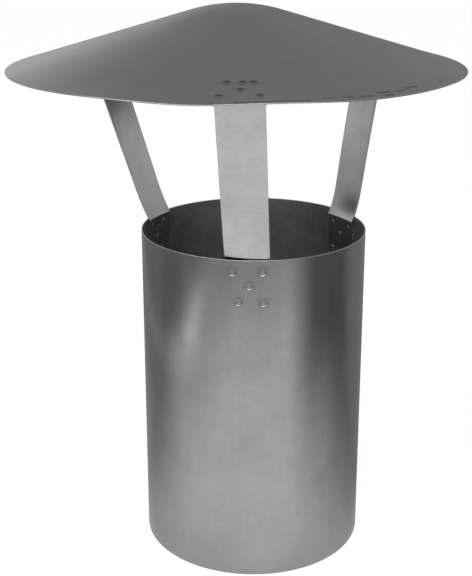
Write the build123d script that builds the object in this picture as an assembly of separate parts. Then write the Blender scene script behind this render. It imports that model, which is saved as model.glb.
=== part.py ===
# Flue rain cap: a plain round pipe, three bent straps and a shallow round-crowned hood,
# all of hot-dip aluminised steel sheet, joined by resistance spot welds.
# Origin: centre of the pipe's lower end. +Z runs up the pipe, -Y is the front, towards the front strap.
# Millimetres and degrees.
import os
from math import asin, atan2, cos, degrees, radians, sin, sqrt, tan

from build123d import *

os.makedirs("parts", exist_ok=True)

# Pipe: one sheet rolled up and butt welded along its back.
PIPE_DIAMETER = 150.0
PIPE_LENGTH = 220.0
PIPE_WALL = 0.8
SEAM_WIDTH = 1.2
SEAM_BEAD_HEIGHT = 0.15

# Hood: one disc pressed to a shallow cone with a round crown.
HOOD_DIAMETER = 286.0
HOOD_SHEET = 0.8
HOOD_SLOPE = 16.7
CROWN_RADIUS = 104.0
HOOD_RIM_ABOVE_PIPE = 110.2
HOOD_SHIFT_X = -11.2
HOOD_SHIFT_Y = -17.0

# Straps: flat strip, one tab inside the pipe and one tab under the hood.
STRAP_WIDTH = 28.0
STRAP_SHEET = 1.2
STRAP_BEND_RADIUS = 1.6
PIPE_TAB_LENGTH = 34.0
PIPE_BEND_RISE = 1.0
HOOD_TAB_LENGTH = 28.2
HOOD_TAB_TO_RIM = 3.0
LEG_FLATTENS_IN = 22.0
LEAST_CAMBER = 0.03

# Spot welds: a dished slug of fused metal through both sheets, with a small crown inside.
WELD_RADIUS = 1.9
DENT_RADIUS = 2.7
DENT_DEPTH = 0.4
WELD_CENTRE_DEPTH = 0.18
WELD_CROWN = 0.5
# The pressed ring in the dish: its rise at both sides, and its middle and inner side as shares of the radius.
RING_RISE = 0.05
RING_MIDDLE = 0.72
RING_INNER = 0.45
# The shoulder of the crown inside, as shares of the weld's radius and the crown's height.
SHOULDER_OUT = 0.62
SHOULDER_UP = 0.7

# How far a cutting shape runs past what it cuts.
CUT_PAST = 1.0

# Straps as they stand round the pipe, by name: compass angle from the front, positive to +X,
# and how far the head leans aside from the foot's own upright plane.
STRAP_ANGLES = {"front": -2.9, "right": 121.0, "left": -114.0}
STRAP_SIDE_LEANS = {"front": -1.5, "right": 0.0, "left": 3.0}

# Weld places on the pipe, struck by hand: along the strap's width, and down from the pipe's rim.
PIPE_WELD_PLACES = {
    "front": [(-9.2, 7.8), (9.5, 7.6), (1.3, 16.4), (-5.4, 27.0), (10.1, 27.4)],
    "right": [(-7.9, 9.8), (10.6, 9.8), (2.4, 16.6), (-4.0, 28.0), (10.6, 28.4)],
    "left": [(-7.2, 6.2), (8.2, 6.2), (0.6, 15.6), (-5.2, 25.4), (8.4, 26.0)],
}
# Weld places on the hood: along the strap's width, and in from the hood's rim.
HOOD_WELD_PLACES = {
    "front": [(-10.6, 9.3), (10.6, 9.3), (0.6, 16.6), (-6.2, 25.0), (2.0, 25.0), (7.5, 25.0)],
    "right": [(-10.2, 9.0), (9.8, 9.8), (0.2, 17.0), (-7.0, 24.6), (7.4, 25.0)],
    "left": [(-9.8, 9.6), (10.4, 9.2), (-0.6, 16.4), (-7.4, 25.0), (6.6, 24.8)],
}

UP = Vector(0, 0, 1)
pipe_outer = PIPE_DIAMETER / 2
pipe_inner = pipe_outer - PIPE_WALL
hood_radius = HOOD_DIAMETER / 2
slope = radians(HOOD_SLOPE)
hood_centre = Vector(HOOD_SHIFT_X, HOOD_SHIFT_Y, PIPE_LENGTH + HOOD_RIM_ABOVE_PIPE)


def outward(angle):
    """Unit vector away from the pipe's axis at a compass angle from the front."""
    a = radians(angle)
    return Vector(sin(a), -cos(a), 0)


def across(angle):
    """Unit vector along a strap's width, to the right of one who looks at it from outside."""
    a = radians(angle)
    return Vector(cos(a), sin(a), 0)


def under_hood(radius, angle):
    """Point on the hood's underside, at a radius and compass angle about the hood's own axis."""
    top = (hood_radius - radius) * tan(slope)
    return hood_centre + outward(angle) * radius + UP * (top - HOOD_SHEET / cos(slope))


def hood_normal(angle):
    """The hood's outward normal on its straight flank."""
    return outward(angle) * sin(slope) + UP * cos(slope)


def down_the_hood(angle):
    """Direction down the hood's flank, towards its rim."""
    return outward(angle) * cos(slope) - UP * sin(slope)


def make_hood():
    """The pressed disc: a cone flank that runs tangent into a round crown."""
    cone_top = hood_radius * tan(slope)
    outer_r = CROWN_RADIUS * sin(slope)
    outer_z = cone_top - outer_r * tan(slope)
    ball_z = outer_z - CROWN_RADIUS * cos(slope)
    inner_ball = CROWN_RADIUS - HOOD_SHEET
    half = slope / 2
    lower = Vector(hood_radius - HOOD_SHEET * sin(slope), 0, -HOOD_SHEET * cos(slope))
    inner_r, inner_z = inner_ball * sin(slope), ball_z + inner_ball * cos(slope)
    profile = [
        Line((0, 0, ball_z + inner_ball), (0, 0, ball_z + CROWN_RADIUS)),
        ThreePointArc(
            (0, 0, ball_z + CROWN_RADIUS),
            (CROWN_RADIUS * sin(half), 0, ball_z + CROWN_RADIUS * cos(half)),
            (outer_r, 0, outer_z),
        ),
        Line((outer_r, 0, outer_z), (hood_radius, 0, 0)),
        Line((hood_radius, 0, 0), lower),
        Line(lower, (inner_r, 0, inner_z)),
        ThreePointArc(
            (inner_r, 0, inner_z),
            (inner_ball * sin(half), 0, ball_z + inner_ball * cos(half)),
            (0, 0, ball_z + inner_ball),
        ),
    ]
    return revolve(make_face(profile), axis=Axis.Z).moved(Location(hood_centre))


def seam_slot(inner, outer):
    """The upright gap along the pipe's back, between two radii."""
    middle = (inner + outer) / 2
    return Pos(0, middle, PIPE_LENGTH / 2) * Box(SEAM_WIDTH, outer - inner, PIPE_LENGTH)


def make_pipe():
    """The rolled sheet, open along the seam that the weld closes."""
    sheet = Cylinder(pipe_outer, PIPE_LENGTH) - Cylinder(pipe_inner, PIPE_LENGTH)
    sheet = Pos(0, 0, PIPE_LENGTH / 2) * sheet
    return sheet - seam_slot(pipe_inner - CUT_PAST, pipe_outer + CUT_PAST)


def make_seam():
    """The seam's weld metal: flush outside, and a low bead inside."""
    bead_inner = pipe_inner - SEAM_BEAD_HEIGHT
    ring = Cylinder(pipe_outer, PIPE_LENGTH) - Cylinder(bead_inner, PIPE_LENGTH)
    ring = Pos(0, 0, PIPE_LENGTH / 2) * ring
    return ring & seam_slot(bead_inner - CUT_PAST, pipe_outer + CUT_PAST)


def section(point, width_way, normal, camber):
    """One cross-section of a strap: its inner face bows by the camber, its outer face is a sheet away."""
    edge = width_way * (STRAP_WIDTH / 2)
    sheet = normal * STRAP_SHEET
    bow = normal * camber
    left, right = point - edge - bow, point + edge - bow
    return Wire(
        [
            ThreePointArc(left, point, right),
            Line(right, right + sheet),
            ThreePointArc(right + sheet, point + sheet, left + sheet),
            Line(left + sheet, left),
        ]
    )


def square_to(direction, way):
    """The part of a vector that is square to a direction, as a unit vector."""
    return (way - direction * way.dot(direction)).normalized()


def bend(corner, way_in, way_out, radius, steps):
    """Points and directions round a bend that rounds off a corner."""
    turn = radians(way_in.get_angle(way_out))
    reach = radius * tan(turn / 2)
    toward = square_to(way_in, way_out)
    start = corner - way_in * reach
    found = []
    for k in range(steps + 1):
        a = turn * k / steps
        point = start + way_in * (radius * sin(a)) + toward * (radius * (1 - cos(a)))
        found.append((point, way_in * cos(a) + toward * sin(a)))
    return found


def strap_ends(name):
    """Corner points of a strap's inner face, and the compass angle of its hood tab about the hood's axis."""
    angle = STRAP_ANGLES[name]
    foot = outward(angle) * (pipe_inner - STRAP_SHEET) + UP * (PIPE_LENGTH + PIPE_BEND_RISE)
    tab_end = hood_radius - HOOD_TAB_TO_RIM
    tab_start = tab_end - HOOD_TAB_LENGTH * cos(slope)
    # The head lies where the strap's upright plane, moved aside, meets the tab's circle about the hood's axis.
    base = across(angle) * STRAP_SIDE_LEANS[name] - Vector(HOOD_SHIFT_X, HOOD_SHIFT_Y, 0)
    inward = base.dot(outward(angle))
    reach = sqrt(inward**2 - base.dot(base) + tab_start**2) - inward
    spot = outward(angle) * reach + base
    hood_angle = degrees(atan2(spot.X, -spot.Y))
    return foot, under_hood(tab_start, hood_angle), hood_angle


def make_strap(name):
    """A strap from its tab in the pipe, up its leg, to its tab under the hood."""
    angle = STRAP_ANGLES[name]
    foot, head, hood_angle = strap_ends(name)
    leg = (head - foot).normalized()
    tab_way = down_the_hood(hood_angle)
    radius = STRAP_BEND_RADIUS + STRAP_SHEET
    inner_wall = pipe_inner - STRAP_SHEET
    half = STRAP_WIDTH / 2
    pipe_camber = pipe_inner - sqrt(pipe_inner**2 - half**2)
    tab_end_radius = hood_radius - HOOD_TAB_TO_RIM
    tab_start_radius = tab_end_radius - HOOD_TAB_LENGTH * cos(slope)
    head_camber = -(sqrt(tab_start_radius**2 + half**2) - tab_start_radius) * sin(slope)
    tip_camber = -(sqrt(tab_end_radius**2 + half**2) - tab_end_radius) * sin(slope)
    low_across, high_across = across(angle), across(hood_angle)

    tab_foot = outward(angle) * inner_wall + UP * (PIPE_LENGTH + PIPE_BEND_RISE - PIPE_TAB_LENGTH)
    low_bend = bend(foot, UP, leg, radius, 3)
    high_bend = bend(head, leg, tab_way, radius, 5)
    leg_start, leg_end = low_bend[-1][0], high_bend[0][0]
    leg_length = (leg_end - leg_start).length

    stations = [(tab_foot, UP, low_across, pipe_camber)]
    stations += [(p, d, low_across, pipe_camber) for p, d in low_bend]
    for k in range(1, 5):
        share = k * LEG_FLATTENS_IN / 4 / leg_length
        camber = max(pipe_camber * (1 - k / 4) ** 2, LEAST_CAMBER)
        way = low_across + (high_across - low_across) * share
        stations.append((leg_start + leg * (leg_length * share), leg, way, camber))
    stations.append((leg_end, leg, high_across, LEAST_CAMBER))
    stations += [(p, d, high_across, head_camber) for p, d in high_bend[1:]]
    tab_left = HOOD_TAB_LENGTH - radius * tan(radians(leg.get_angle(tab_way)) / 2)
    stations.append((high_bend[-1][0] + tab_way * tab_left, tab_way, high_across, tip_camber))

    wires = []
    for point, way, width_way, camber in stations:
        width_way = square_to(way, width_way)
        wires.append(section(point, width_way, width_way.cross(way), camber))
    return Solid.make_loft(wires, ruled=True)


def weld_tools(stack):
    """A weld slug and the pocket that it fills, struck from Z = 0 down through a stack of sheets."""
    floor = RING_RISE - DENT_DEPTH
    outline = [
        Line((0, 0, -WELD_CENTRE_DEPTH), (0, 0, -stack - WELD_CROWN)),
        ThreePointArc(
            (0, 0, -stack - WELD_CROWN),
            (WELD_RADIUS * SHOULDER_OUT, 0, -stack - WELD_CROWN * SHOULDER_UP),
            (WELD_RADIUS, 0, -stack),
        ),
        Line((WELD_RADIUS, 0, -stack), (WELD_RADIUS, 0, floor)),
        ThreePointArc(
            (WELD_RADIUS, 0, floor),
            (WELD_RADIUS * RING_MIDDLE, 0, -DENT_DEPTH),
            (WELD_RADIUS * RING_INNER, 0, floor),
        ),
        Line((WELD_RADIUS * RING_INNER, 0, floor), (0, 0, -WELD_CENTRE_DEPTH)),
    ]
    slug = revolve(make_face(outline), axis=Axis.Z)
    pocket_outline = Polyline(
        (0, 0, CUT_PAST),
        (DENT_RADIUS + CUT_PAST, 0, CUT_PAST),
        (DENT_RADIUS, 0, 0),
        (WELD_RADIUS, 0, floor),
        (WELD_RADIUS, 0, -stack - CUT_PAST),
        (0, 0, -stack - CUT_PAST),
        close=True,
    )
    pocket = revolve(make_face(pocket_outline), axis=Axis.Z)
    return slug, pocket


def place(shape, point, normal, width_way):
    """A shape drawn on Z, moved to a point with its Z along a normal."""
    return shape.moved(Plane(origin=point, x_dir=width_way, z_dir=normal).location)


def pipe_weld_spots(name):
    """Points on the pipe's outside, normals and width directions for one strap's welds."""
    for aside, down in PIPE_WELD_PLACES[name]:
        here = STRAP_ANGLES[name] + degrees(asin(aside / pipe_outer))
        yield outward(here) * pipe_outer + UP * (PIPE_LENGTH - down), outward(here), across(here)


def hood_weld_spots(name):
    """Points on the hood's outside, normals and width directions for one strap's welds."""
    hood_angle = strap_ends(name)[2]
    for aside, in_from_rim in HOOD_WELD_PLACES[name]:
        radius = hood_radius - in_from_rim
        here = hood_angle + degrees(asin(aside / radius))
        normal = hood_normal(here)
        point = under_hood(radius, here) + UP * (HOOD_SHEET / cos(slope))
        yield point, normal, across(here)


pipe = make_pipe()
hood = make_hood()
straps = {}
welds = {}
pipe_slug, pipe_pocket = weld_tools(PIPE_WALL + STRAP_SHEET)
hood_slug, hood_pocket = weld_tools(HOOD_SHEET + STRAP_SHEET)

for name in STRAP_ANGLES:
    strap = make_strap(name)
    on_pipe, on_hood = [], []
    for point, normal, width_way in pipe_weld_spots(name):
        hole = place(pipe_pocket, point, normal, width_way)
        pipe -= hole
        strap -= hole
        on_pipe.append(place(pipe_slug, point, normal, width_way))
    for point, normal, width_way in hood_weld_spots(name):
        hole = place(hood_pocket, point, normal, width_way)
        hood -= hole
        strap -= hole
        on_hood.append(place(hood_slug, point, normal, width_way))
    straps[name] = strap
    welds["pipe_welds_" + name] = Compound(children=on_pipe)
    welds["hood_welds_" + name] = Compound(children=on_hood)

pieces = {"pipe": pipe, "pipe_seam_weld": make_seam(), "hood": hood}
pieces.update({"strap_" + name: strap for name, strap in straps.items()})
pieces.update(welds)
for node, shape in pieces.items():
    export_step(shape, f"parts/{node}.step")
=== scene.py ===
import math

import bpy
import numpy as np
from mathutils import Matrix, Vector


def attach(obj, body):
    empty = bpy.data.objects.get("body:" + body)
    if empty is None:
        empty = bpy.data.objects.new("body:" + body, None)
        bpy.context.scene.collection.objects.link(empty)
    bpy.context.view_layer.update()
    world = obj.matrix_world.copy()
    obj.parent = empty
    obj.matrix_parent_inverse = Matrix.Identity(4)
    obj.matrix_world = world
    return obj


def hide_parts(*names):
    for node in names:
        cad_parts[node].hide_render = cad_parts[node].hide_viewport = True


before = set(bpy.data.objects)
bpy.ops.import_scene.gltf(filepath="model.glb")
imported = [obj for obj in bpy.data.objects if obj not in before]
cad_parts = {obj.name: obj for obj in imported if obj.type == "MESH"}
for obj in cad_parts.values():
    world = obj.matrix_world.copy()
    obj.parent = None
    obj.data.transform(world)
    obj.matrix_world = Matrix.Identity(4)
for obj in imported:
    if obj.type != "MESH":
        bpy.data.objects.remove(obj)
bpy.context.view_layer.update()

# The pipe: a sheet of hot-dip aluminised mild steel, rolled to a tube and butt welded along its back.
# The mill leaves it a dull even grey with a fine grain, and the shears leave a bright bare line at each end.
# Where the strap tabs were spot welded inside, the electrode left small round dishes in the wall.
PIPE_RADIUS = 75.0
PIPE_WALL = 0.8
PIPE_LENGTH = 220.0
EDGE_ROUND = 0.22
STRAP_ANGLES = {"front": -2.9, "right": 121.0, "left": -114.0}
PIPE_WELD_PLACES = {
    "front": [(-9.2, 7.8), (9.5, 7.6), (1.3, 16.4), (-5.4, 27.0), (10.1, 27.4)],
    "right": [(-7.9, 9.8), (10.6, 9.8), (2.4, 16.6), (-4.0, 28.0), (10.6, 28.4)],
    "left": [(-7.2, 6.2), (8.2, 6.2), (0.6, 15.6), (-5.2, 25.4), (8.4, 26.0)],
}
WELD_RADIUS = 1.9
DENT_RADIUS = 2.7
DENT_DEPTH = 0.4
DARK_RING_WIDTH = 0.75
DARK_HAZE = 0.3
END_BAND = 1.0


def way_out(angle):
    """Unit vector away from the axis at a compass angle from the front, positive to +X."""
    a = math.radians(angle)
    return np.array([math.sin(a), -math.cos(a), 0.0])


def way_across(angle):
    """Unit vector to the right of one who looks at the angle's place from outside."""
    a = math.radians(angle)
    return np.array([math.cos(a), math.sin(a), 0.0])


def angle_steps(zones, reach, fine, coarse):
    """Compass angles all round, close together near the zones and further apart elsewhere."""
    steps = [-180.0]
    while steps[-1] < 180.0:
        near = min(abs((steps[-1] - zone + 180.0) % 360.0 - 180.0) for zone in zones)
        steps.append(steps[-1] + (fine if near < reach else coarse))
    return np.array(steps[:-1])


def distance_steps(stops):
    """Distances that run through (end, step) pairs from zero."""
    found = [0.0]
    for end, step in stops:
        count = max(1, round((end - found[-1]) / step))
        found.extend(np.linspace(found[-1], end, count + 1)[1:])
    return np.array(found)


def band_faces(rows, columns):
    """Faces of a band whose rows close on themselves and whose two ends are capped."""
    faces = []
    for i in range(rows):
        for j in range(columns - 1):
            here, above = i * columns + j, (i + 1) % rows * columns + j
            faces.append((here, here + 1, above + 1, above))
    faces.append(tuple(i * columns for i in range(rows)))
    faces.append(tuple(i * columns + columns - 1 for i in reversed(range(rows))))
    return faces


def add_piece(name, points, faces, materials, node_names, dark_marks_and_painted_shade=None):
    """A smooth mesh object from points in millimetres, which stands for the named nodes.

    A last argument gives each point its share of a dark mark in the coat: weld heat tint with painted shade
    in the dishes, the hood's scuffs, and painted shade and darker legs on the straps.
    """
    mesh = bpy.data.meshes.new(name)
    mesh.from_pydata((np.asarray(points) * 0.001).tolist(), [], faces)
    mesh.validate()
    mesh.shade_smooth()
    if dark_marks_and_painted_shade is not None:
        mesh.attributes.new("dark_marks_and_painted_shade", "FLOAT", "POINT").data.foreach_set("value", dark_marks_and_painted_shade)
    piece = bpy.data.objects.new(name, mesh)
    bpy.context.collection.objects.link(piece)
    for material in materials:
        mesh.materials.append(material)
    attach(piece, "root")
    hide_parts(*node_names)
    return piece


def linear(hex_code):
    """Linear colour of an sRGB hex value."""
    channels = [int(hex_code[k:k + 2], 16) / 255 for k in (1, 3, 5)]
    return [c / 12.92 if c <= 0.04045 else ((c + 0.055) / 1.055) ** 2.4 for c in channels] + [1.0]


def node(tree, kind, sockets=None, **settings):
    """Adds a shader node with its settings, and its sockets as values or as links from other sockets."""
    made = tree.nodes.new(kind)
    for key, value in settings.items():
        setattr(made, key, value)
    for key, value in (sockets or {}).items():
        if isinstance(value, bpy.types.NodeSocket):
            tree.links.new(value, made.inputs[key])
        else:
            made.inputs[key].default_value = value
    return made


def aluminised_steel(name, pale, dark, roughness, grain_way, relief_share=0.15):
    """Aluminised steel sheet: a dull metal with millimetre grain, faint roll streaks and cloudy patches."""
    material = bpy.data.materials.new(name)
    material.use_nodes = True
    tree = material.node_tree
    shader = tree.nodes["Principled BSDF"]
    shader.inputs["Metallic"].default_value = 1.0
    place = node(tree, "ShaderNodeTexCoord").outputs["Object"]
    # Roll streaks are 0.7 mm wide and some 50 mm long on the real sheet, drawn at 1.5 mm so that they show.
    streak_scale = [1 / 0.0015, 1 / 0.0015, 1 / 0.0015]
    streak_scale[grain_way] = 1 / 0.05
    stretched = node(tree, "ShaderNodeVectorMath", {0: place, 1: streak_scale}, operation="MULTIPLY")
    streaks = node(tree, "ShaderNodeTexNoise", {"Vector": stretched.outputs[0], "Scale": 1.0, "Detail": 2.0})
    # The coat's grain is about 0.4 mm, drawn at 1.2 mm so that it shows.
    grain = node(tree, "ShaderNodeTexNoise", {"Vector": place, "Scale": 1 / 0.0012, "Detail": 2.0})
    # Smudges of handling, 8 mm or so, and cloudy patches where the coat is thicker, 40 mm or so.
    smudges = node(tree, "ShaderNodeTexNoise", {"Vector": place, "Scale": 1 / 0.008, "Detail": 5.0})
    clouds = node(tree, "ShaderNodeTexNoise", {"Vector": place, "Scale": 1 / 0.04, "Detail": 3.0})
    fine = node(
        tree, "ShaderNodeMath", {0: streaks.outputs["Fac"], 1: 0.5, 2: grain.outputs["Fac"]},
        operation="MULTIPLY_ADD",
    )
    broad = node(
        tree, "ShaderNodeMath", {0: smudges.outputs["Fac"], 1: 0.5, 2: clouds.outputs["Fac"]},
        operation="MULTIPLY_ADD",
    )
    both = node(
        tree, "ShaderNodeMath", {0: fine.outputs[0], 1: 0.45, 2: broad.outputs[0]}, operation="MULTIPLY_ADD"
    )
    share = node(tree, "ShaderNodeMapRange", {"Value": both.outputs[0], "From Min": 0.82, "From Max": 1.35})
    colour = node(
        tree, "ShaderNodeMix", {0: share.outputs[0], 6: linear(dark), 7: linear(pale)}, data_type="RGBA"
    )
    # A per-point share darkens the coat: heat tint with painted shade round each weld's dish, scuffs on the
    # hood, and painted shade and darker legs on the straps.
    darkening = node(tree, "ShaderNodeAttribute", attribute_name="dark_marks_and_painted_shade")
    darkened = node(
        tree, "ShaderNodeMix", {0: darkening.outputs["Fac"], 6: colour.outputs[2], 7: linear("#3c3c3c")},
        data_type="RGBA",
    )
    tree.links.new(darkened.outputs[2], shader.inputs["Base Color"])
    rough = node(
        tree,
        "ShaderNodeMapRange",
        {"Value": both.outputs[0], "From Min": 0.82, "From Max": 1.35, "To Min": roughness + 0.015,
         "To Max": roughness - 0.015},
    )
    tree.links.new(rough.outputs[0], shader.inputs["Roughness"])
    relief = node(
        tree, "ShaderNodeBump", {"Height": fine.outputs[0], "Strength": relief_share, "Distance": 0.00004}
    )
    tree.links.new(relief.outputs[0], shader.inputs["Normal"])
    return material


def sheared_edge(name):
    """The bare steel of a sheared edge: brighter and smoother than the coat, with drag marks."""
    material = bpy.data.materials.new(name)
    material.use_nodes = True
    tree = material.node_tree
    shader = tree.nodes["Principled BSDF"]
    shader.inputs["Metallic"].default_value = 1.0
    place = node(tree, "ShaderNodeTexCoord").outputs["Object"]
    # Drag marks of the shear are about 0.5 mm apart, drawn at 1.2 mm so that they show.
    marks = node(tree, "ShaderNodeTexNoise", {"Vector": place, "Scale": 1 / 0.0012, "Detail": 2.0})
    colour = node(
        tree, "ShaderNodeMix", {0: marks.outputs["Fac"], 6: linear("#b0b0b0"), 7: linear("#eeeeee")},
        data_type="RGBA",
    )
    tree.links.new(colour.outputs[2], shader.inputs["Base Color"])
    shader.inputs["Roughness"].default_value = 0.34
    return material


def dish(distance):
    """Depth of a weld's dish at a distance from its middle: flat floor, sloping side, soft lip."""
    slope = np.clip((DENT_RADIUS - distance) / (DENT_RADIUS - WELD_RADIUS), 0.0, 1.0)
    return DENT_DEPTH * slope * slope * (3 - 2 * slope)


def weld_tint_and_painted_shade(distance, darkness):
    """Share of a weld's dark mark at a distance from its middle: darkest as a ring on the dish's side, partly
    heat tint and partly painted shade in the dish.
    """
    ring = (distance - (DENT_RADIUS + WELD_RADIUS) / 2) / DARK_RING_WIDTH
    haze = DARK_HAZE * darkness * np.clip(2.0 - distance / DENT_RADIUS, 0.0, 1.0)
    return darkness * np.exp(-ring * ring) + haze


def rounded(reach):
    """Points (from the face, from the edge) round the rounded edge of a sheet, from its face to its end."""
    for turn in (0.0, 30.0, 60.0, 90.0):
        a = math.radians(turn)
        yield reach * (1 - math.cos(a)), reach * (1 - math.sin(a))


def pipe_weld_places(name):
    """Compass angle and height of one strap's welds on the pipe."""
    for aside, down in PIPE_WELD_PLACES[name]:
        yield STRAP_ANGLES[name] + math.degrees(math.asin(aside / PIPE_RADIUS)), PIPE_LENGTH - down


SEAM_WIDTH = 1.2
SEAM_BEAD_HEIGHT = 0.15
seam_half = math.degrees(SEAM_WIDTH / 2 / PIPE_RADIUS)
pipe_angles = angle_steps(STRAP_ANGLES.values(), 13.0, 0.3, 2.0)
pipe_angles = np.concatenate([[-180.0 + seam_half], pipe_angles[1:], [180.0 - seam_half]])
heights = distance_steps([(186.0, 6.0), (PIPE_LENGTH - EDGE_ROUND, 0.3)])[1:-1]
corner = list(rounded(EDGE_ROUND))
wall_line = [(edge, depth) for depth, edge in reversed(corner)]
wall_line += [(z, 0.0) for z in heights]
wall_line += [(PIPE_LENGTH - edge, depth) for depth, edge in corner]
wall_line += [(PIPE_LENGTH - edge, PIPE_WALL - depth) for depth, edge in reversed(corner)]
wall_line += [(z, PIPE_WALL) for z in heights[::-1]]
wall_line += [(edge, PIPE_WALL - depth) for depth, edge in corner]
pipe_points = []
pipe_tint_and_painted_shade = []
for z, depth in wall_line:
    pushed = np.zeros_like(pipe_angles)
    marks_and_painted_shade = np.zeros_like(pipe_angles)
    if depth < PIPE_WALL / 2:
        for name in STRAP_ANGLES:
            for spot, height in pipe_weld_places(name):
                aside = np.radians((pipe_angles - spot + 180.0) % 360.0 - 180.0) * PIPE_RADIUS
                pushed += dish(np.hypot(aside, z - height))
                # The mark is painted darker on the dish's upper side: painted shade where that side of the
                # dish faces down.
                darkness = 0.3 + 0.1 * np.clip(z - height, -2, 2)
                marks_and_painted_shade = np.maximum(marks_and_painted_shade, weld_tint_and_painted_shade(np.hypot(aside, z - height), darkness))
    radius = PIPE_RADIUS - depth - np.minimum(pushed, DENT_DEPTH)
    a = np.radians(pipe_angles)
    pipe_points.append(np.stack([radius * np.sin(a), -radius * np.cos(a), np.full_like(a, z)], 1))
    pipe_tint_and_painted_shade.append(marks_and_painted_shade)
pipe_coat = aluminised_steel("aluminised_steel_pipe", "#bcbcbc", "#afafaf", 0.20, 2)
inner_coat = aluminised_steel("aluminised_steel_pipe_inside", "#cccccc", "#9a9a9a", 0.42, 2, 0.25)
cut_edge = sheared_edge("sheared_steel_edge")
pipe = add_piece(
    "pipe_wall",
    np.concatenate(pipe_points),
    band_faces(len(wall_line), len(pipe_angles)),
    [pipe_coat, cut_edge, inner_coat],
    ["pipe"],
    np.concatenate(pipe_tint_and_painted_shade),
)
for face in pipe.data.polygons:
    if face.normal.x * face.center.x + face.normal.y * face.center.y < 0.0:
        face.material_index = 2


def mark_edges(piece, is_edge):
    """Gives the faces whose normal and centre pass a test the bare edge's material."""
    for face in piece.data.polygons:
        if is_edge(face):
            face.material_index = 1


def at_pipe_end(face):
    """Whether a face slopes to the pipe's end and lies at one, as the slopes of the dishes don't."""
    height = face.center.z * 1000
    return abs(face.normal.z) > 0.2 and not END_BAND < height < PIPE_LENGTH - END_BAND


mark_edges(pipe, at_pipe_end)


# The seam: weld metal that closes the rolled sheet's gap along the pipe's back.
# It was planished flush outside, where a bright line is left, and stands up inside as a low bead.
SEAM_END_INSET = 0.1
RIPPLE_LENGTH = 1.5
ON_BEAD = PIPE_WALL + 0.5
seam_points = []
bead_heights = np.arange(1.0, PIPE_LENGTH - 1.0, RIPPLE_LENGTH / 5)
seam_top = PIPE_LENGTH - SEAM_END_INSET
seam_line = [(z, 0.0) for z in heights[::4]] + [(seam_top, SEAM_END_INSET), (seam_top, PIPE_WALL)]
seam_line += [(z, ON_BEAD) for z in bead_heights[::-1]]
seam_line += [(SEAM_END_INSET, PIPE_WALL), (SEAM_END_INSET, SEAM_END_INSET)]
seam_angles = np.linspace(-seam_half, seam_half, 9)
crown = 1 - (seam_angles / seam_half) ** 2
for z, depth in seam_line:
    ripple = 0.8 + 0.2 * math.cos(2 * math.pi * z / RIPPLE_LENGTH)
    bead = PIPE_WALL + SEAM_BEAD_HEIGHT * ripple * crown
    radius = PIPE_RADIUS - (bead if depth > PIPE_WALL else depth + 0.02 * (1 - crown))
    a = np.radians(seam_angles + 180.0)
    seam_points.append(np.stack([radius * np.sin(a), -radius * np.cos(a), np.full_like(a, z)], 1))
seam_metal = aluminised_steel("planished_seam_metal", "#cfcfcf", "#8f8f8f", 0.3, 2)
add_piece(
    "pipe_seam_bead", np.concatenate(seam_points), band_faces(len(seam_line), len(seam_angles)), [seam_metal],
    ["pipe_seam_weld"],
)


# The straps: flat strip of the same coated steel, cut to length and bent twice by hand in a vice.
# The lower tab lies inside the pipe and takes its curve, the upper tab lies under the hood.
# Their sheared edges are bright, and each leg has a little twist left from the bending.
STRAP_SIDE_LEANS = {"front": -1.5, "right": 0.0, "left": 3.0}
FOOT_DROPS = {"front": 0.6, "right": 4.5, "left": 1.5}
FOOT_STAND_OFFS = {"front": 0.8, "right": 1.1, "left": 0.6}
FOOT_TWISTS = {"front": 0.7, "right": 0.0, "left": 0.0}
FOOT_BOWS = {"front": 0.0, "right": 1.1, "left": 0.3}
FOOT_BOW_AT = 16.0
LEG_DARKENING = {"right": 0.28, "left": 0.1}
STRAP_WIDTH = 28.0
STRAP_SHEET = 1.2
STRAP_BEND_RADIUS = 1.6
PIPE_TAB_LENGTH = 34.0
PIPE_BEND_RISE = 1.0
TAB_LIFTS_OFF_IN = 5.0
HOOD_TAB_LENGTH = 28.2
HOOD_TAB_TO_RIM = 3.0
LEG_FLATTENS_IN = 22.0
HOOD_RADIUS = 143.0
HOOD_SHEET = 0.8
HOOD_SLOPE = math.radians(16.7)
HOOD_CENTRE = np.array([-11.2, -17.0, PIPE_LENGTH + 110.2])
UP = np.array([0.0, 0.0, 1.0])


# The hood's rim was left a little bent up: how far, by compass angle about the hood's axis.
RIM_LIFTS = [
    (-180, 0.2), (-150, 0.7), (-115, 0.1), (-75, 0.0), (-55, 0.3), (-42, 0.6), (-30, 1.0), (-19, 0.6),
    (-11, 0.0), (-3, 0.3), (3, 1.1), (14, 1.25), (21, 0.6), (30, 0.1), (45, 0.2), (58, 0.5), (75, 0.1),
    (115, 0.5), (150, 0.0), (180, 0.2),
]
RIM_LIFT_REACH = 24.0


def follow_rim(points):
    """Lifts what lies on or under the hood near its rim, as the rim was bent up."""
    points = np.array(points)
    east, south, height = (points - HOOD_CENTRE).T
    angles = np.degrees(np.arctan2(east, -south))
    places, lifts = zip(*RIM_LIFTS)
    # The corners between the readings are smoothed.
    near = [np.interp((angles + shift + 180.0) % 360.0 - 180.0, places, lifts) for shift in (-4, -2, 0, 2, 4)]
    share = np.clip(1 - (HOOD_RADIUS - np.hypot(east, south)) / RIM_LIFT_REACH, 0.0, None) ** 2
    points[:, 2] += np.mean(near, axis=0) * share * (height > -4.0)
    return points


def unit(vector):
    return vector / np.linalg.norm(vector)


def under_hood(radius, angle):
    """Point on the hood's underside, at a radius and compass angle about the hood's own axis."""
    top = (HOOD_RADIUS - radius) * math.tan(HOOD_SLOPE)
    return HOOD_CENTRE + way_out(angle) * radius + UP * (top - HOOD_SHEET / math.cos(HOOD_SLOPE))


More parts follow.
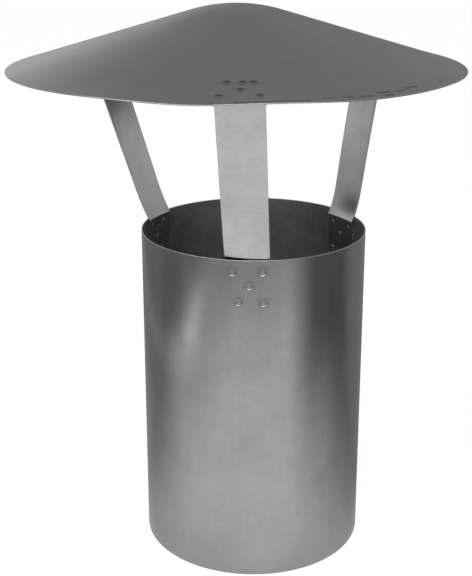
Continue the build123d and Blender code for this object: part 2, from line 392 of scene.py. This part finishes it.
def strap_ends(name):
    """Corner points of a strap's inner face, and the compass angle of its hood tab about the hood's axis."""
    angle = STRAP_ANGLES[name]
    inner_wall = PIPE_RADIUS - PIPE_WALL - STRAP_SHEET
    foot = way_out(angle) * (inner_wall - FOOT_STAND_OFFS[name]) + UP * (PIPE_LENGTH - FOOT_DROPS[name])
    tab_start = HOOD_RADIUS - HOOD_TAB_TO_RIM - HOOD_TAB_LENGTH * math.cos(HOOD_SLOPE)
    base = way_across(angle) * STRAP_SIDE_LEANS[name] - HOOD_CENTRE * [1, 1, 0]
    inward = base @ way_out(angle)
    spot = way_out(angle) * (math.sqrt(inward**2 - base @ base + tab_start**2) - inward) + base
    hood_angle = math.degrees(math.atan2(spot[0], -spot[1]))
    return foot, under_hood(tab_start, hood_angle), hood_angle


def bend(corner, way_in, way_out_of, radius, steps):
    """Points and directions round a bend that rounds off a corner."""
    turn = math.acos(way_in @ way_out_of)
    toward = unit(way_out_of - way_in * (way_in @ way_out_of))
    start = corner - way_in * (radius * math.tan(turn / 2))
    for a in np.linspace(0.0, turn, steps + 1):
        point = start + way_in * (radius * math.sin(a)) + toward * (radius * (1 - math.cos(a)))
        yield point, way_in * math.cos(a) + toward * math.sin(a)


def strap_stations(name):
    """Points, directions, width directions and bows of a strap's cross-sections, from bottom to top."""
    angle = STRAP_ANGLES[name]
    foot, head, hood_angle = strap_ends(name)
    leg = unit(head - foot)
    down_hood = way_out(hood_angle) * math.cos(HOOD_SLOPE) - UP * math.sin(HOOD_SLOPE)
    half = STRAP_WIDTH / 2
    inner_radius = PIPE_RADIUS - PIPE_WALL
    pipe_bow = inner_radius - math.sqrt(inner_radius**2 - half**2)
    tab_end = HOOD_RADIUS - HOOD_TAB_TO_RIM
    tab_start = tab_end - HOOD_TAB_LENGTH * math.cos(HOOD_SLOPE)
    head_bow = -(math.sqrt(tab_start**2 + half**2) - tab_start) * math.sin(HOOD_SLOPE)
    tip_bow = -(math.sqrt(tab_end**2 + half**2) - tab_end) * math.sin(HOOD_SLOPE)
    low, high = way_across(angle), way_across(hood_angle)
    radius = STRAP_BEND_RADIUS + STRAP_SHEET
    low_bend = list(bend(foot, UP, leg, radius, 6))
    high_bend = list(bend(head, leg, down_hood, radius, 10))
    on_wall = way_out(angle) * (inner_radius - STRAP_SHEET)
    tab_top = low_bend[0][0][2]
    stations = []
    for z in np.linspace(PIPE_LENGTH + PIPE_BEND_RISE - PIPE_TAB_LENGTH, tab_top - 0.5, 24):
        # The tab lies on the wall, and comes away from it over the last few millimetres below the bend.
        off = FOOT_STAND_OFFS[name] * max(0.0, 1 - (tab_top - z) / TAB_LIFTS_OFF_IN) ** 2
        stations.append((on_wall - way_out(angle) * off + UP * z, UP, low, pipe_bow))
    stations += [(point, way, low, pipe_bow) for point, way in low_bend]
    leg_start, leg_end = low_bend[-1][0], high_bend[0][0]
    length = np.linalg.norm(leg_end - leg_start)
    for run in distance_steps([(8.0, 0.4), (40.0, 2.0), (length, 3.0)])[1:-1]:
        bow = pipe_bow * max(0.0, 1 - run / LEG_FLATTENS_IN) ** 2
        # The leg was bent a little too far at its foot and pushed back, which leaves it bowed outwards there.
        out = FOOT_BOWS[name] * run / FOOT_BOW_AT * math.exp(1 - run / FOOT_BOW_AT)
        middle = leg_start + leg * run + way_out(angle) * out
        stations.append((middle, leg, low + (high - low) * (run / length), bow))
    stations += [
        (point, way, high, head_bow * k / len(high_bend)) for k, (point, way) in enumerate(high_bend, 1)
    ]
    end = high_bend[-1][0]
    left = HOOD_TAB_LENGTH - radius * math.tan(math.acos(leg @ down_hood) / 2)
    for k in range(1, 13):
        bow = head_bow + (tip_bow - head_bow) * k / 12
        stations.append((end + down_hood * (left * k / 12), down_hood, high, bow))
    return stations


def strap_painted_shade_and_darkening(name, x, depth, level):
    """Share of painted shade and darkening at a place along a strap's width, depth into it, and height above
    the pipe's rim.
    """
    if name == "front":
        # Painted shade darkens the crease at the foot, more so at its left.
        crease = 0.72 - 0.05 * x
        return min(1.0, max(0.0, (crease - level) / 0.4)) * 0.9 if depth > STRAP_SHEET / 2 else 0.0
    if depth > STRAP_SHEET / 2:
        return 0.0
    # Inside, the legs are darker towards their feet, and painted shade darkens a patch on the right one.
    darker_legs = 0.06 + LEG_DARKENING[name] * max(0.0, 1 - level / 120)
    patch = 0.5 * math.exp(-((x + 10) / 15) ** 2 - ((level - 6) / 8) ** 2) if name == "right" else 0.0
    return (darker_legs + patch) * min(1.0, max(0.0, (level + 4) / 6))


def strap_loop():
    """A strap's cross-section as (mm from its middle line, depth into the sheet), once round."""
    half = STRAP_WIDTH / 2
    corner = list(rounded(EDGE_ROUND))
    inner_face = [(x, 0.0) for x in np.linspace(-half + 1.0, half - 1.0, 15)]
    loop = list(inner_face)
    loop += [(half - edge, depth) for depth, edge in corner]
    loop += [(half - edge, STRAP_SHEET - depth) for depth, edge in reversed(corner)]
    loop += [(x, STRAP_SHEET) for x, _ in reversed(inner_face)]
    loop += [(-half + edge, STRAP_SHEET - depth) for depth, edge in corner]
    loop += [(-half + edge, depth) for depth, edge in reversed(corner)]
    return loop


strap_coat = aluminised_steel("aluminised_steel_strip", "#d6d6d6", "#c0c0c0", 0.26, 0)
for name in STRAP_ANGLES:
    loop = strap_loop()
    points = []
    painted_shade_and_darkening = []
    for point, way, across, bow in strap_stations(name):
        across = unit(across - way * (way @ across))
        normal = np.cross(across, way)
        # The foot was bent a little skew, so one edge stands off the wall just about the pipe's rim.
        level = point[2] - PIPE_LENGTH
        nearness = max(0.0, 1 + level / 6.0) if level < 0.0 else max(0.0, 1 - level / 45.0)
        skew = FOOT_TWISTS[name] * nearness ** 2 / STRAP_WIDTH
        for x, depth in loop:
            inward = depth - bow * (2 * x / STRAP_WIDTH) ** 2 + skew * (x - STRAP_WIDTH / 2)
            points.append(point + across * x + normal * inward)
            # Each point's share of painted shade, and of the legs' darkening towards their feet.
            painted_shade_and_darkening.append(strap_painted_shade_and_darkening(name, x, depth, level))
    size = len(loop)
    rows = len(points) // size
    faces = [
        (i * size + j, (i + 1) * size + j, (i + 1) * size + (j + 1) % size, i * size + (j + 1) % size)
        for i in range(rows - 1)
        for j in range(size)
    ]
    faces.append(tuple(range(size)))
    faces.append(tuple(range((rows - 1) * size, rows * size))[::-1])
    strap = add_piece(
        "strap_" + name + "_strip", follow_rim(points), faces, [strap_coat, cut_edge], ["strap_" + name],
        np.array(painted_shade_and_darkening),
    )
    edge_columns = set(range(15, 23)) | set(range(38, 46))
    for face in strap.data.polygons:
        if len(face.vertices) > 4:
            face.material_index = 1
            face.use_smooth = False
        elif {vertex % size for vertex in face.vertices} <= edge_columns:
            face.material_index = 1


# The hood: one disc of the same coated sheet, pressed in a tool to a shallow cone with a round crown.
# The rim is left as it was cut, a little wavy, with a bare bright edge and scuffs from handling.
# The weld electrodes left a cluster of dishes over each strap.
CROWN_RADIUS = 104.0
HOOD_WELD_PLACES = {
    "front": [(-10.6, 9.3), (10.6, 9.3), (0.6, 16.6), (-6.2, 25.0), (2.0, 25.0), (7.5, 25.0)],
    "right": [(-10.2, 9.0), (9.8, 9.8), (0.2, 17.0), (-7.0, 24.6), (7.4, 25.0)],
    "left": [(-9.8, 9.6), (10.4, 9.2), (-0.6, 16.4), (-7.4, 25.0), (6.6, 24.8)],
}


def hood_height(radius):
    """Height of the hood's upper face above its rim at a distance from its axis."""
    flank = (HOOD_RADIUS - radius) * math.tan(HOOD_SLOPE)
    tangent = CROWN_RADIUS * math.sin(HOOD_SLOPE)
    ball = (HOOD_RADIUS - tangent) * math.tan(HOOD_SLOPE) - CROWN_RADIUS * math.cos(HOOD_SLOPE)
    crown = ball + np.sqrt(np.maximum(CROWN_RADIUS**2 - radius**2, 0.0))
    return np.where(radius > tangent, flank, crown)


def hood_tilt(radius):
    """Angle of the hood's face from level at a distance from its axis."""
    return np.minimum(np.arcsin(np.minimum(radius / CROWN_RADIUS, 1.0)), HOOD_SLOPE)


def hood_weld_places(name):
    """Radius and compass angle, about the hood's axis, of one strap's welds."""
    hood_angle = strap_ends(name)[2]
    for aside, inward in HOOD_WELD_PLACES[name]:
        radius = HOOD_RADIUS - inward
        yield radius, hood_angle + math.degrees(math.asin(aside / radius))


# Scuffs as (first angle, last angle, mm in from the rim at each, half width in mm, darkness).
SCUFFS = [
    (-66, -59, 0.4, 0.4, 0.5, 0.7), (-5, -2.6, 0.3, 0.3, 0.6, 0.9), (1, 16, 1.8, 1.8, 0.5, 0.75),
    (20, 22, 4.4, 4.4, 0.7, 0.35), (25, 26.5, 4.5, 4.0, 0.7, 0.5), (29, 31.5, 3.6, 3.4, 0.7, 0.5),
    (34.5, 37, 5.6, 5.6, 0.8, 0.65), (35.5, 36.8, 2.3, 2.3, 0.8, 0.7), (39.8, 41.5, 4.8, 4.8, 0.7, 0.65),
    (43.5, 47, 6.6, 6.8, 0.7, 0.65), (58, 60, 6.0, 6.0, 0.6, 0.35),
]


def scuffed(angles, inset):
    """Share of scuff dirt at compass angles, some way in from the rim."""
    share = np.zeros_like(angles)
    for first, last, start, end, half, darkness in SCUFFS:
        middle = np.interp(angles, [first, last], [start, end]) + 0.3 * np.sin(angles * 4.1)
        off = np.abs(inset - middle) / half
        beyond = np.maximum(np.maximum(first - angles, angles - last), 0.0) / 0.6
        share = np.maximum(share, darkness * np.clip(1.6 - np.hypot(off, beyond), 0.0, 1.0))
    return share


hood_zones = [strap_ends(name)[2] for name in STRAP_ANGLES]
hood_angles = angle_steps(hood_zones, 8.0, 0.2, 0.5)
radii = distance_steps([(2.0, 2.0), (106.0, 4.0), (HOOD_RADIUS - EDGE_ROUND, 0.35)])[1:-1]
sheet_line = [(r, 0.0) for r in radii]
sheet_line += [(HOOD_RADIUS - edge, depth) for depth, edge in corner]
sheet_line += [(HOOD_RADIUS - edge, HOOD_SHEET - depth) for depth, edge in reversed(corner)]
sheet_line += [(r, HOOD_SHEET) for r in radii[::-1]]
a = np.radians(hood_angles)
hood_points = []
hood_marks_and_painted_shade = []
for r, depth in sheet_line:
    tilt = hood_tilt(r)
    pushed = np.zeros_like(a)
    marks_and_painted_shade = np.zeros_like(a)
    if depth < HOOD_SHEET / 2:
        for name in STRAP_ANGLES:
            for spot_radius, spot_angle in hood_weld_places(name):
                aside = np.radians((hood_angles - spot_angle + 180.0) % 360.0 - 180.0) * spot_radius
                distance = np.hypot(aside, (r - spot_radius) / math.cos(HOOD_SLOPE))
                pushed += dish(distance)
                marks_and_painted_shade = np.maximum(marks_and_painted_shade, weld_tint_and_painted_shade(distance, 0.14))
        marks_and_painted_shade = np.maximum(marks_and_painted_shade, scuffed(hood_angles, HOOD_RADIUS - r))
    inward = depth + np.minimum(pushed, DENT_DEPTH)
    out = r - inward * np.sin(tilt)
    z = hood_height(r) - inward * np.cos(tilt)
    hood_points.append(follow_rim(np.stack([out * np.sin(a), -out * np.cos(a), z + 0 * a], 1) + HOOD_CENTRE))
    hood_marks_and_painted_shade.append(marks_and_painted_shade)
columns = len(a)
rows = len(sheet_line)
apex = float(hood_height(0.0))
hood_points.append(np.array([[0, 0, apex], [0, 0, apex - HOOD_SHEET]]) + HOOD_CENTRE)
hood_marks_and_painted_shade.append(np.zeros(2))
hood_faces = [
    (i * columns + j, (i + 1) * columns + j, (i + 1) * columns + (j + 1) % columns,
     i * columns + (j + 1) % columns)
    for i in range(rows - 1)
    for j in range(columns)
]
top, bottom = rows * columns, rows * columns + 1
hood_faces += [(top, j, (j + 1) % columns) for j in range(columns)]
last = (rows - 1) * columns
hood_faces += [(bottom, last + (j + 1) % columns, last + j) for j in range(columns)]
hood_coat = aluminised_steel("aluminised_steel_hood", "#b7b7b7", "#b1b1b1", 0.24, 0, 0.09)
hood = add_piece(
    "hood_disc", np.concatenate(hood_points), hood_faces, [hood_coat, cut_edge], ["hood"],
    np.concatenate(hood_marks_and_painted_shade),
)
first_edge = len(radii)
for face in hood.data.polygons:
    if all(first_edge <= vertex // columns < first_edge + 8 for vertex in face.vertices):
        face.material_index = 1


# The welds: slugs of steel fused through both sheets by a spot welder's electrodes.
# Outside, each is a dished ring round a low middle; inside, it stands up as a small round button.
# The heat left the metal bare and a shade darker than the coat, with a bright pressed lip.
WELD_CENTRE_DEPTH = 0.18
WELD_CROWN = 0.5
WELD_SIDES = 32


def slug_line(stack):
    """A weld's outline as (radius, height) from the middle of its dish to the middle of its button."""
    floor = [
        (0.0, -WELD_CENTRE_DEPTH),
        (0.4, -WELD_CENTRE_DEPTH - 0.02),
        (0.75, -WELD_CENTRE_DEPTH - 0.08),
        (1.05, -DENT_DEPTH + 0.02),
        (1.4, -DENT_DEPTH - 0.02),
        (WELD_RADIUS, -DENT_DEPTH - 0.05),
    ]
    button = [
        (WELD_RADIUS * math.cos(t), -stack - WELD_CROWN * math.sin(t))
        for t in np.linspace(0.0, math.pi / 2, 8)
    ]
    return floor + button


def slug(point, normal, across, stack):
    """Points and faces of one slug, struck along a normal at a point."""
    beside = np.cross(normal, across)
    line = slug_line(stack)
    points, faces = [], []
    for radius, height in line[1:-1]:
        for k in range(WELD_SIDES):
            t = 2 * math.pi * k / WELD_SIDES
            points.append(point + normal * height + (across * math.cos(t) + beside * math.sin(t)) * radius)
    points.append(point + normal * line[0][1])
    points.append(point + normal * line[-1][1])
    rings = len(line) - 2
    for i in range(rings - 1):
        for k in range(WELD_SIDES):
            beyond = (k + 1) % WELD_SIDES
            faces.append(
                (i * WELD_SIDES + k, (i + 1) * WELD_SIDES + k, (i + 1) * WELD_SIDES + beyond,
                 i * WELD_SIDES + beyond)
            )
    first, last = rings * WELD_SIDES, rings * WELD_SIDES + 1
    for k in range(WELD_SIDES):
        beyond = (k + 1) % WELD_SIDES
        faces.append((first, k, beyond))
        faces.append((last, (rings - 1) * WELD_SIDES + beyond, (rings - 1) * WELD_SIDES + k))
    return points, faces


weld_metal = aluminised_steel("pressed_weld_metal", "#b0b0b0", "#989898", 0.36, 2)
for name in STRAP_ANGLES:
    spots = []
    for spot, height in pipe_weld_places(name):
        spots.append((way_out(spot) * PIPE_RADIUS + UP * height, way_out(spot), way_across(spot)))
    on_hood = []
    for radius, spot in hood_weld_places(name):
        point = HOOD_CENTRE + way_out(spot) * radius + UP * float(hood_height(radius))
        normal = way_out(spot) * math.sin(HOOD_SLOPE) + UP * math.cos(HOOD_SLOPE)
        on_hood.append((point, normal, way_across(spot)))
    for where, group, sheet in (("pipe", spots, PIPE_WALL), ("hood", on_hood, HOOD_SHEET)):
        points, faces = [], []
        for point, normal, across in group:
            more, its_faces = slug(point, normal, across, sheet + STRAP_SHEET)
            faces += [tuple(v + len(points) for v in face) for face in its_faces]
            points += more
        if where == "hood":
            points = follow_rim(points)
        title = where + "_welds_" + name
        add_piece(title + "_slugs", points, faces, [weld_metal], [title])


# The studio: a white table top with a white sweep behind, and a dim room past them.
# Large soft lamps hang over it. The metal shows the pale table below, whose light and shade are painted into
# the floor's glow, and the dim room above.
FLOOR_SIZE = 8.0
mesh = bpy.data.meshes.new("floor")
half = FLOOR_SIZE / 2
corners = [(-half, -half, 0), (half, -half, 0), (half, half, 0), (-half, half, 0)]
mesh.from_pydata(corners, [], [(0, 1, 2, 3)])
floor = bpy.data.objects.new("floor", mesh)
bpy.context.collection.objects.link(floor)
paper = bpy.data.materials.new("white_paper")
paper.use_nodes = True
tree = paper.node_tree
tree.nodes.clear()
rays = node(tree, "ShaderNodeLightPath")
matt = node(tree, "ShaderNodeBsdfDiffuse", {"Color": linear("#f2f2f2")})
glow = node(tree, "ShaderNodeEmission", {"Color": linear("#ffffff"), "Strength": 1.11})
place = node(tree, "ShaderNodeNewGeometry").outputs["Position"]
# Reflections see a painted glow on the table, as if lit from the front: painted shade dims it behind the cap,
# past its front edge, and past its sides, most of all to the right, where a painted shadow of the cap opens
# out as a dark wedge.
spread = node(tree, "ShaderNodeSeparateXYZ", {0: place})
behind = node(
    tree, "ShaderNodeMapRange",
    {"Value": spread.outputs["X"], "From Min": -0.1, "From Max": 0.1, "To Min": 0.31, "To Max": 0.22},
)
lit_front = node(
    tree, "ShaderNodeMapRange",
    {"Value": spread.outputs["Y"], "From Min": 0.08, "From Max": -0.15, "To Min": behind.outputs[0],
     "To Max": 0.78},
    interpolation_type="SMOOTHSTEP",
)
front_edge = node(
    tree, "ShaderNodeMapRange",
    {"Value": spread.outputs["Y"], "From Min": -0.36, "From Max": -0.68, "To Min": 1.0, "To Max": 0.5},
)
flat = node(tree, "ShaderNodeVectorMath", {0: place, 1: (1.0, 1.0, 0.0)}, operation="MULTIPLY")
bearing = node(tree, "ShaderNodeVectorMath", {0: flat.outputs[0]}, operation="NORMALIZE")
toward_right = node(
    tree, "ShaderNodeVectorMath", {0: bearing.outputs[0], 1: (0.949, -0.316, 0.0)}, operation="DOT_PRODUCT"
)
off_axis = node(tree, "ShaderNodeVectorMath", {0: flat.outputs[0]}, operation="LENGTH")
darkest = node(
    tree, "ShaderNodeMapRange",
    {"Value": toward_right.outputs["Value"], "From Min": 0.78, "From Max": 0.98, "To Min": 0.0,
     "To Max": 0.87},
)
lost = node(
    tree, "ShaderNodeMapRange",
    {"Value": off_axis.outputs["Value"], "From Min": 0.0, "From Max": 0.55, "To Min": 0.0,
     "To Max": darkest.outputs[0]},
    interpolation_type="SMOOTHSTEP",
)
right_side = node(tree, "ShaderNodeMath", {0: 1.0, 1: lost.outputs[0]}, operation="SUBTRACT")
leftward = node(
    tree, "ShaderNodeMath", {0: spread.outputs["Y"], 1: -0.08, 2: spread.outputs["X"]},
    operation="MULTIPLY_ADD",
)
left_fade = node(
    tree, "ShaderNodeMapRange",
    {"Value": leftward.outputs[0], "From Min": -0.12, "From Max": -0.30, "To Min": 1.0, "To Max": 0.68},
)
# A painted highlight runs as a strip along the table's left edge, palest in its middle.
strip_start = node(
    tree, "ShaderNodeMapRange",
    {"Value": spread.outputs["Y"], "From Min": -0.12, "From Max": -0.22, "To Min": 1.5, "To Max": 2.9},
)
strip_end = node(
    tree, "ShaderNodeMapRange",
    {"Value": spread.outputs["Y"], "From Min": -0.30, "From Max": -0.42, "To Min": 1.0, "To Max": 0.5},
)
palest = node(
    tree, "ShaderNodeMath", {0: strip_start.outputs[0], 1: strip_end.outputs[0]}, operation="MULTIPLY"
)
strip = node(
    tree, "ShaderNodeMapRange",
    {"Value": leftward.outputs[0], "From Min": -0.37, "From Max": -0.41, "To Min": 1.0,
     "To Max": palest.outputs[0]},
)
past_left = node(
    tree, "ShaderNodeMapRange",
    {"Value": spread.outputs["Y"], "From Min": 0.0, "From Max": 0.12, "To Min": 0.12, "To Max": 0.6},
)
left_edge = node(
    tree, "ShaderNodeMapRange",
    {"Value": leftward.outputs[0], "From Min": -0.42, "From Max": -0.48, "To Min": 1.0,
     "To Max": past_left.outputs[0]},
)
left_half = node(tree, "ShaderNodeMath", {0: left_fade.outputs[0], 1: strip.outputs[0]}, operation="MULTIPLY")
left_side = node(
    tree, "ShaderNodeMath", {0: left_half.outputs[0], 1: left_edge.outputs[0]}, operation="MULTIPLY"
)
ends = node(tree, "ShaderNodeMath", {0: lit_front.outputs[0], 1: front_edge.outputs[0]}, operation="MULTIPLY")
lit = node(tree, "ShaderNodeMath", {0: ends.outputs[0], 1: left_side.outputs[0]}, operation="MULTIPLY")
shaded = node(tree, "ShaderNodeMath", {0: lit.outputs[0], 1: 0.15}, operation="MAXIMUM")
near = node(tree, "ShaderNodeMath", {0: shaded.outputs[0], 1: right_side.outputs[0]}, operation="MULTIPLY")
# Far out at both sides the painted glow of the room's floor is pale again.
aside = node(tree, "ShaderNodeMath", {0: spread.outputs["X"]}, operation="ABSOLUTE")
far = node(
    tree, "ShaderNodeMapRange",
    {"Value": aside.outputs[0], "From Min": 0.88, "From Max": 1.12, "To Min": 0.0, "To Max": 0.42},
)
table = node(tree, "ShaderNodeMath", {0: near.outputs[0], 1: far.outputs[0]}, operation="MAXIMUM")
dim = node(tree, "ShaderNodeEmission", {"Color": linear("#ffffff"), "Strength": table.outputs[0]})
glossy = node(
    tree, "ShaderNodeMixShader", {0: rays.outputs["Is Glossy Ray"], 1: matt.outputs[0], 2: dim.outputs[0]}
)
direct = node(
    tree, "ShaderNodeMath", {0: rays.outputs["Is Camera Ray"], 1: rays.outputs["Is Transmission Ray"]},
    operation="MAXIMUM",
)
camera_share = node(tree, "ShaderNodeMath", {0: direct.outputs[0], 1: 0.85}, operation="MULTIPLY")
mixed = node(
    tree, "ShaderNodeMixShader", {0: camera_share.outputs[0], 1: glossy.outputs[0], 2: glow.outputs[0]}
)
node(tree, "ShaderNodeOutputMaterial", {"Surface": mixed.outputs[0]})
mesh.materials.append(paper)

world = bpy.data.worlds.new("studio")
bpy.context.scene.world = world
world.use_nodes = True
tree = world.node_tree
tree.nodes.clear()
rays = node(tree, "ShaderNodeLightPath")
way = node(tree, "ShaderNodeTexCoord").outputs["Generated"]
parts = node(tree, "ShaderNodeSeparateXYZ", {0: way})
# Near the horizon the sweep is lit from the left; higher up the room is an even grey.
sideways = node(
    tree, "ShaderNodeMapRange",
    {"Value": parts.outputs["X"], "From Min": -0.3, "From Max": 0.0, "To Min": 0.64, "To Max": 0.23},
)
window = node(
    tree, "ShaderNodeMapRange",
    {"Value": parts.outputs["X"], "From Min": 0.2, "From Max": 0.95, "To Min": 0.0, "To Max": 0.34},
)
horizon = node(tree, "ShaderNodeMath", {0: sideways.outputs[0], 1: window.outputs[0]}, operation="ADD")
room = node(
    tree, "ShaderNodeMapRange",
    {"Value": parts.outputs["Z"], "From Min": 0.15, "From Max": 0.5, "To Min": horizon.outputs[0],
     "To Max": 0.28},
)
# Overhead the room is darker.
overhead = node(
    tree, "ShaderNodeMapRange",
    {"Value": parts.outputs["Z"], "From Min": 0.75, "From Max": 0.95, "To Min": 1.0, "To Max": 0.25},
)
room = node(tree, "ShaderNodeMath", {0: room.outputs[0], 1: overhead.outputs[0]}, operation="MULTIPLY")
# Above the camera hangs a pale ceiling panel, which draws the bright line along the pipe's rim.
panel_side = node(
    tree, "ShaderNodeMapRange",
    {"Value": parts.outputs["Y"], "From Min": 0.25, "From Max": 0.0, "To Min": 0.0, "To Max": 0.8},
    interpolation_type="SMOOTHSTEP",
)
off_middle = node(tree, "ShaderNodeMath", {0: parts.outputs["X"]}, operation="ABSOLUTE")
panel_ends = node(
    tree, "ShaderNodeMapRange",
    {"Value": off_middle.outputs[0], "From Min": 0.7, "From Max": 0.5, "To Min": 0.0,
     "To Max": panel_side.outputs[0]},
)
panel_low = node(
    tree, "ShaderNodeMapRange",
    {"Value": parts.outputs["Z"], "From Min": 0.1, "From Max": 0.3, "To Min": 0.0,
     "To Max": panel_ends.outputs[0]},
)
panel = node(
    tree, "ShaderNodeMapRange",
    {"Value": parts.outputs["Z"], "From Min": 0.85, "From Max": 0.7, "To Min": 0.0,
     "To Max": panel_low.outputs[0]},
)
room = node(tree, "ShaderNodeMath", {0: room.outputs[0], 1: panel.outputs[0]}, operation="ADD")
direct = node(
    tree, "ShaderNodeMath", {0: rays.outputs["Is Camera Ray"], 1: rays.outputs["Is Transmission Ray"]},
    operation="MAXIMUM",
)
seen = node(tree, "ShaderNodeMix", {0: direct.outputs[0], 2: room.outputs[0], 3: 1.0}, data_type="FLOAT")
back = node(tree, "ShaderNodeBackground", {"Color": linear("#ffffff"), "Strength": seen.outputs[0]})
node(tree, "ShaderNodeOutputWorld", {"Surface": back.outputs[0]})


def soft_lamp(name, place, aim, size, watts):
    """A square soft box that faces a point."""
    light = bpy.data.lights.new(name, "AREA")
    light.size = size
    light.energy = watts
    lamp = bpy.data.objects.new(name, light)
    bpy.context.collection.objects.link(lamp)
    lamp.location = place
    lamp.rotation_euler = (Vector(aim) - Vector(place)).to_track_quat("-Z", "Y").to_euler()


soft_lamp("key_lamp", (0.1, -1.4, 1.6), (0, 0, 0.2), 0.9, 10)
soft_lamp("fill_lamp", (-1.3, -0.9, 1.6), (0, 0, 0.2), 1.2, 12)

# The camera: straight in front of the cap and somewhat above it, as the photograph was taken.
FOCAL_PIXELS = 1111.4
FRAME_HEIGHT = 576
MIDDLE_ROW = 245.0
camera_data = bpy.data.cameras.new("camera")
camera_data.sensor_width = 36.0
camera_data.lens = 36.0 * FOCAL_PIXELS / FRAME_HEIGHT
camera_data.shift_y = (MIDDLE_ROW - FRAME_HEIGHT / 2) / FRAME_HEIGHT
camera = bpy.data.objects.new("camera", camera_data)
bpy.context.collection.objects.link(camera)
camera.location = (0.0, -0.7174, 0.4299)
CAMERA_YAW = -0.0163
CAMERA_PITCH = 0.3016
level = math.cos(CAMERA_PITCH)
forward = Vector(
    (math.sin(CAMERA_YAW) * level, math.cos(CAMERA_YAW) * level, -math.sin(CAMERA_PITCH))
)
camera.rotation_euler = forward.to_track_quat("-Z", "Y").to_euler()
bpy.context.scene.camera = camera
bpy.context.scene.view_settings.view_transform = "Standard"
